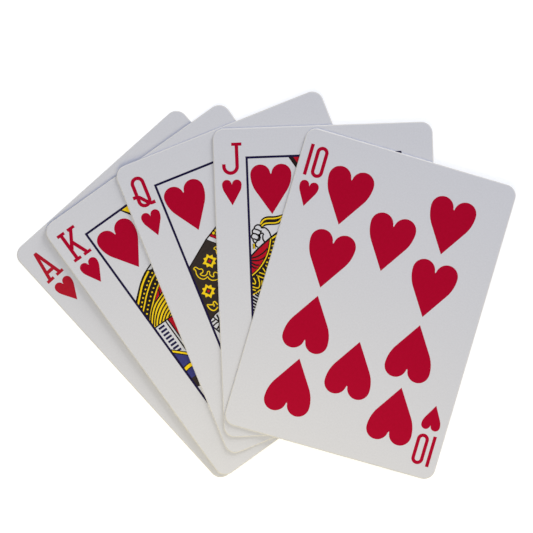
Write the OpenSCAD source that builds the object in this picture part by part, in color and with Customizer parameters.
// A fan of five playing cards, face up: the ace, king, queen, jack and ten of hearts.
// Each card is a laminate of two paper plies with a dark film between them, printed with ink.
// The cards lie on one another, the ace lowest and the ten on top.
// Each card turns on the one below about the place where a thumb pins the two together.
// The fan closes to a squared packet. +Z points up out of the printed faces.

/* [Card] */
// Width of a card
card_w = 63.5; // [50:0.5:80]
// Height of a card
card_h = 88.9; // [76:0.1:110]
// Radius of a card's corners
corner_r = 3.3; // [1:0.1:6]
// Thickness of one paper ply
ply_t = 0.135; // [0.08:0.005:0.25]
// Thickness of the dark film between the plies
film_t = 0.03; // [0.02:0.005:0.08]
// Thickness of the printed ink
ink_t = 0.01; // [0.005:0.005:0.03]

/* [Fan] */
// Turn of the ace from upright, anticlockwise
ace_lean = 41.95; // [30:0.01:55]
// Turn of the king on the ace, clockwise
king_turn = 6.26; // [1:0.01:30]
// Turn of the queen on the king, clockwise
queen_turn = 13.7; // [1:0.01:30]
// Turn of the jack on the queen, clockwise
jack_turn = 19.7; // [1:0.01:30]
// Turn of the ten on the jack, clockwise
ten_turn = 18.4; // [1:0.01:30]
// Where the king turns on the ace, in from the left edge
king_grip_in = 2.1; // [-10:0.01:40]
// Where the king turns on the ace, up from the lower edge
king_grip_up = -11.23; // [-30:0.01:20]
// Where the queen turns on the king, in from the left edge
queen_grip_in = 20.91; // [-10:0.01:40]
// Where the queen turns on the king, up from the lower edge
queen_grip_up = -20.37; // [-30:0.01:20]
// Where the jack turns on the queen, in from the left edge
jack_grip_in = 16.54; // [-10:0.01:40]
// Where the jack turns on the queen, up from the lower edge
jack_grip_up = 0.8; // [-30:0.01:20]
// Where the ten turns on the jack, in from the left edge
ten_grip_in = 13.66; // [-10:0.01:40]
// Where the ten turns on the jack, up from the lower edge
ten_grip_up = 3.48; // [-30:0.01:20]
// Air under the king, which the bow of the lowest card leaves
king_air = 0.4; // [0.02:0.02:0.8]
// Air between the other cards
air = 0.06; // [0.02:0.02:0.4]

/* [Index] */
// Middle of the index column, in from the card's side
index_in = 5.05; // [4:0.05:8]
// Top of the index letter, down from the card's end
letter_down = 4.15; // [2:0.05:8]
// Height of the index letters
letter_h = 9.15; // [6:0.05:12]
// Width of the A and the K over their serifs
letter_w = 5.85; // [4.5:0.05:8]
// Width of a pen stroke in the letters
stroke = 1; // [0.5:0.02:1.2]
// Height of a letter's slab serifs
serif_h = 0.88; // [0.4:0.02:1.4]
// Length of a letter's slab serifs
serif_l = 2.4; // [1.4:0.05:2.8]
// Height of the A's bar above its foot
a_bar_up = 2.1; // [1.4:0.05:4]
// Height at which the K's arm leaves its stem
k_arm_up = 3.95; // [2.5:0.05:5]
// Rise along the K's arm at which its leg leaves it
k_fork_up = 1.5; // [0.6:0.05:3]
// Width of the Q's bowl
q_w = 4.05; // [3:0.05:6]
// Length of the Q's tail, from end to end
q_tail_l = 5.65; // [5:0.05:8]
// Height of the tail where it crosses the Q's left side
q_tail_up = 3.6; // [2.5:0.05:5]
// Height of the tail's foot on the right
q_foot_up = 0.62; // [0.5:0.02:1.2]
// Length of the level stretch at either end of the tail
q_tail_end = 1.05; // [0.5:0.05:1.5]
// Radius of the J's hook at the middle of its stroke
j_hook_r = 1.9; // [1.2:0.05:2.6]
// Rise of the hook's tip above the hook's centre
j_tip_up = 0.7; // [0:0.05:3]
// Length of the J's top serif
j_serif_l = 2.9; // [1.6:0.05:4]
// Width of the number ten
ten_w = 5.55; // [4.8:0.05:8]
// Width of the nought in the ten
nought_w = 3.55; // [2.4:0.05:3.8]
// Gap between the letter and the heart under it
index_gap = 1.4; // [0.6:0.05:3]
// Width of the index heart
index_heart_w = 5.6; // [4:0.05:8]
// Height of the index heart
index_heart_h = 7.35; // [5:0.05:10]

/* [Pips] */
// Side margin of the ten's hearts, from the card's side
pip_side = 9.55; // [7:0.05:12]
// End margin of the ten's hearts, from the card's end
pip_end = 7.9; // [4:0.05:12]
// Gap between the ten's hearts in a column
pip_gap = 2.45; // [1:0.05:5]
// Width of the ten's hearts
pip_w = 13.5; // [10:0.1:15]
// How far the ten's print sits below the middle of its card, as set by the printer
ten_print_down = 0.45; // [0:0.05:1]
// Width of the ace's one heart
ace_pip_w = 17; // [10:0.1:30]
// Height of the ace's one heart
ace_pip_h = 20.7; // [12:0.1:40]
// Width of a court card's hearts
court_pip_w = 11.8; // [8:0.1:15]
// Height of a court card's hearts
court_pip_h = 14.3; // [10:0.1:18]
// Gap between a court card's heart and the side of its frame
court_pip_side = 0.55; // [0.3:0.05:3]
// Gap between a court card's heart and the end of its frame
court_pip_end = 1.8; // [0.5:0.05:4]

/* [Court frame] */
// Side margin of the frame, from the card's side
frame_side = 9.25; // [6:0.05:12]
// End margin of the frame, from the card's end
frame_end = 8.2; // [5:0.05:12]
// Width of the frame's line
frame_line = 0.64; // [0.2:0.02:1]

/* [Colour] */
// Colour of the paper's face
face_colour = "#e6e5e4"; // ["#e6e5e4", "#fffdf5"]
// Colour of the paper's back
back_colour = "#b3404f"; // ["#b3404f", "#34558b"]
// Colour of the film
film_colour = "#33343a"; // ["#33343a", "#6d6a63"]
// Colour of the suit's ink
suit_colour = "#a50026"; // ["#a50026", "#c8102e"]
// Colour of the frame's ink
frame_colour = "#19163c"; // ["#19163c", "#222222"]

/* [Hidden] */
CARDS = ["ace", "king", "queen", "jack", "ten"];
COURTS = [1, 2, 3];
LAYERS = ["back_ply", "core_film", "face_ply", "red_ink"];

// Straight steps in one arc or curve of an outline
arc_steps = 16;

// Shape of a heart, as shares of its width
lobe_share = 0.244;
side_share = 0.74;
notch_share = 0.005;
// Angle above level at which a lobe's arc leaves the notch
notch_angle = 7;

// Place of each index letter beside its column's middle line, as set by the printer
letter_aside = [-0.2, 0.15, 0.05, 0.3, 0];

// Levels of the layers above the underside of a card
film_z = ply_t;
face_z = film_z + film_t;
ink_z = face_z + ply_t;
card_t = ink_z + ink_t;

// Turns and grip points of each card on the one below; the ace lies on the table
turns = [0, king_turn, queen_turn, jack_turn, ten_turn];
airs = [0, king_air, air, air, air];
grips = [
    [0, 0],
    grip(king_grip_in, king_grip_up),
    grip(queen_grip_in, queen_grip_up),
    grip(jack_grip_in, jack_grip_up),
    grip(ten_grip_in, ten_grip_up)
];

// Level of each card's underside, its lean from upright, and its middle before the fan is centred
ALL = [0 : len(CARDS) - 1];
levels = [for (i = ALL) level(i)];
leans = [for (i = ALL) lean(i)];
middles = [for (i = ALL) middle(i)];

// Half extents of each leaning card, and the middle of the whole fan's box
reaches = [for (a = leans) half_extent(a)];
low = [for (k = [0, 1]) min([for (i = ALL) middles[i][k] - reaches[i][k]])];
high = [for (k = [0, 1]) max([for (i = ALL) middles[i][k] + reaches[i][k]])];
fan_middle = (low + high) / 2;

// Half sizes of the frame's outer edge, and the ten's rows and columns of hearts
frame_x = card_w / 2 - frame_side;
frame_y = card_h / 2 - frame_end;
pip_h = (card_h - 2 * pip_end - 3 * pip_gap) / 4;
pip_pitch = pip_h + pip_gap;
pip_column = card_w / 2 - pip_side - pip_w / 2;

// Where the letters' feet, the letter and the heart of an index sit
foot_x = letter_w / 2 - serif_l / 2;
letter_y = card_h / 2 - letter_down - letter_h;
index_heart_y = letter_y - index_gap - index_heart_h / 2;

echo(middles_mm = [for (m = middles) m - fan_middle], leans_deg = leans, levels_mm = levels);
echo(grips_mm = [for (i = [1 : len(CARDS) - 1]) middles[i] + turned(grips[i], leans[i]) - fan_middle]);

// A point of a card measured in from its left edge and up from its lower edge
function grip(in_from_left, up_from_end) = [in_from_left - card_w / 2, up_from_end - card_h / 2];

function turned(p, a) = [p.x * cos(a) - p.y * sin(a), p.x * sin(a) + p.y * cos(a)];

function level(i) = i == 0 ? 0 : level(i - 1) + card_t + airs[i];

function lean(i) = i == 0 ? ace_lean : lean(i - 1) - turns[i];

// A card and the one below it share the grip point
function middle(i) = i == 0
    ? [0, 0]
    : middle(i - 1) + turned(grips[i], lean(i - 1)) - turned(grips[i], lean(i));

function half_extent(a) = let (x = card_w / 2 - corner_r, y = card_h / 2 - corner_r) [
    x * abs(cos(a)) + y * abs(sin(a)) + corner_r,
    x * abs(sin(a)) + y * abs(cos(a)) + corner_r
];

function arc(centre, r, from, to) = [
    for (k = [0 : arc_steps]) let (a = from + (to - from) * k / arc_steps) centre + r * [cos(a), sin(a)]
];

function mirrored(points) = [for (p = points) [-p.x, p.y]];

// A rectangle with round corners
function round_box(w, h, r) = let (x = w / 2 - r, y = h / 2 - r) concat(
    arc([x, y], r, 0, 90),
    arc([-x, y], r, 90, 180),
    arc([-x, -y], r, 180, 270),
    arc([x, -y], r, 270, 360)
);

// The left half of a heart, from its notch to its tip at the origin:
// a round lobe, a flatter arc down its side and a straight run to the tip
function heart_half(w, h) = let (
    lobe = lobe_share * w,
    lobe_y = h - lobe,
    side = side_share * w,
    side_x = side - w / 2,
    slant = asin(side / norm([side_x, lobe_y])) - atan(side_x / lobe_y)
) concat(
    [[0, lobe_y + notch_share * w]],
    arc([lobe - w / 2, lobe_y], lobe, notch_angle, 180),
    arc([side_x, lobe_y], side, 180, 180 + slant),
    [[0, 0]]
);

// The middle line of the Q's tail, which sweeps down evenly between its level ends
function tail_point(t) = [
    (t - 0.5) * (q_tail_l - 2 * q_tail_end),
    q_tail_up + (q_foot_up - q_tail_up) * t * t * (3 - 2 * t)
];

// Half the tail's width, square to the middle line
function tail_half(t) = let (
    along = [q_tail_l - 2 * q_tail_end, (q_foot_up - q_tail_up) * 6 * t * (1 - t)]
) [-along.y, along.x] / norm(along) * stroke / 2;

// One edge of the tail: the upper one with a side of 1, the lower one with -1
function tail_edge(side) = concat(
    [[-q_tail_l / 2, q_tail_up + side * stroke / 2]],
    [for (k = [0 : arc_steps]) tail_point(k / arc_steps) + side * tail_half(k / arc_steps)],
    [[q_tail_l / 2, q_foot_up + side * stroke / 2]]
);

function backwards(points) = [for (k = [len(points) - 1 : -1 : 0]) points[k]];

// Flat shapes

module heart(w, h) {
    half = heart_half(w, h);
    inner = [for (k = [1 : len(half) - 2]) half[k]];
    translate([0, -h / 2]) polygon(concat(half, backwards(mirrored(inner))));
}

module bar(from, to, w) {
    along = to - from;
    aside = [-along.y, along.x] / norm(along) * w / 2;
    polygon([from + aside, from - aside, to - aside, to + aside]);
}

module serif(x, y, l) {
    translate([x - l / 2, y]) square([l, serif_h]);
}

module bowl(w) {
    translate([0, letter_h / 2]) difference() {
        polygon(round_box(w, letter_h, w / 2));
        polygon(round_box(w - 2 * stroke, letter_h - 2 * stroke, w / 2 - stroke));
    }
}

module letter_a() {
    apex = stroke / 2;
    outer = foot_x + apex;
    inner = foot_x - apex;
    crotch = serif_h + inner * (letter_h - serif_h) / (outer - apex);
    bar_mid = a_bar_up + stroke / 2;
    bar_half = foot_x * (letter_h - bar_mid) / (letter_h - serif_h);
    polygon([
        [-apex, letter_h],
        [-outer, serif_h],
        [-inner, serif_h],
        [0, crotch],
        [inner, serif_h],
        [outer, serif_h],
        [apex, letter_h]
    ]);
    bar([-bar_half, bar_mid], [bar_half, bar_mid], stroke);
    for (side = [-1, 1]) serif(side * foot_x, 0, serif_l);
}

module letter_k() {
    arm_foot = [stroke / 2 - foot_x, k_arm_up];
    arm_head = [foot_x, letter_h - serif_h / 2];
    arm = arm_head - arm_foot;
    fork = arm_foot + arm * k_fork_up / arm.y;
    translate([-foot_x - stroke / 2, 0]) square([stroke, letter_h]);
    bar(arm_foot - arm / norm(arm) * stroke / 2, arm_head, stroke);
    bar(fork, [foot_x, serif_h / 2], stroke);
    for (side = [-1, 1], y = [0, letter_h - serif_h]) serif(side * foot_x, y, serif_l);
}

module letter_q() {
    bowl(q_w);
    polygon(concat(tail_edge(-1), backwards(tail_edge(1))));
}

module letter_j() {
    hook_w = 2 * j_hook_r + stroke;
    hook = [-(j_serif_l - stroke) / 4, hook_w / 2];
    stem_x = hook.x + j_hook_r;
    polygon(concat(
        arc(hook, j_hook_r + stroke / 2, 180, 360),
        backwards(arc(hook, j_hook_r - stroke / 2, 180, 360))
    ));
    translate([hook.x - hook_w / 2, hook.y]) square([stroke, j_tip_up]);
    translate([stem_x - stroke / 2, hook.y]) square([stroke, letter_h - hook.y]);
    serif(stem_x, letter_h - serif_h, j_serif_l);
}

module number_ten() {
    translate([-ten_w / 2, 0]) square([stroke, letter_h]);
    translate([ten_w / 2 - nought_w / 2, 0]) bowl(nought_w);
}

module letter(i) {
    if (i == 0) letter_a();
    if (i == 1) letter_k();
    if (i == 2) letter_q();
    if (i == 3) letter_j();
    if (i == 4) number_ten();
}

// One corner's index: the letter over its small heart
module index(i) {
    translate([index_in - card_w / 2, 0]) {
        translate([letter_aside[i], letter_y]) letter(i);
        translate([0, index_heart_y]) heart(index_heart_w, index_heart_h);
    }
}

// What is printed on one half of a card, seen with that half uppermost
module court_half() {
    x = frame_x - frame_line - court_pip_side - court_pip_w / 2;
    y = frame_y - frame_line - court_pip_end - court_pip_h / 2;
    translate([-x, y]) heart(court_pip_w, court_pip_h);
}

module ten_half() {
    for (side = [-1, 1], row = [0.5, 1.5]) {
        translate([side * pip_column, row * pip_pitch]) heart(pip_w, pip_h);
    }
    translate([0, pip_pitch]) heart(pip_w, pip_h);
}

module red_print(i) {
    translate([0, i == 4 ? -ten_print_down : 0]) for (end = [0, 180]) rotate(end) {
        index(i);
        if (i == 4) ten_half();
        if (i > 0 && i < 4) court_half();
    }
    if (i == 0) heart(ace_pip_w, ace_pip_h);
}

module frame_print() {
    difference() {
        square(2 * [frame_x, frame_y], center = true);
        square(2 * [frame_x - frame_line, frame_y - frame_line], center = true);
    }
}

// Places a layer of a card in the fan
module on_card(i, z) {
    translate([middles[i].x - fan_middle.x, middles[i].y - fan_middle.y, levels[i] + z])
        rotate(leans[i]) children();
}

// Sub-parts, one set for each card

module back_ply(i) {
    color(back_colour) on_card(i, 0) linear_extrude(ply_t) polygon(round_box(card_w, card_h, corner_r));
}

module core_film(i) {
    color(film_colour) on_card(i, film_z) linear_extrude(film_t) polygon(round_box(card_w, card_h, corner_r));
}

module face_ply(i) {
    color(face_colour) on_card(i, face_z) linear_extrude(ply_t) polygon(round_box(card_w, card_h, corner_r));
}

module red_ink(i) {
    color(suit_colour) on_card(i, ink_z) linear_extrude(ink_t) red_print(i);
}

module frame_ink(i) {
    color(frame_colour) on_card(i, ink_z) linear_extrude(ink_t) frame_print();
}

for (i = ALL) {
    back_ply(i);
    core_film(i);
    face_ply(i);
    red_ink(i);
}
for (i = COURTS) {
    frame_ink(i);
}
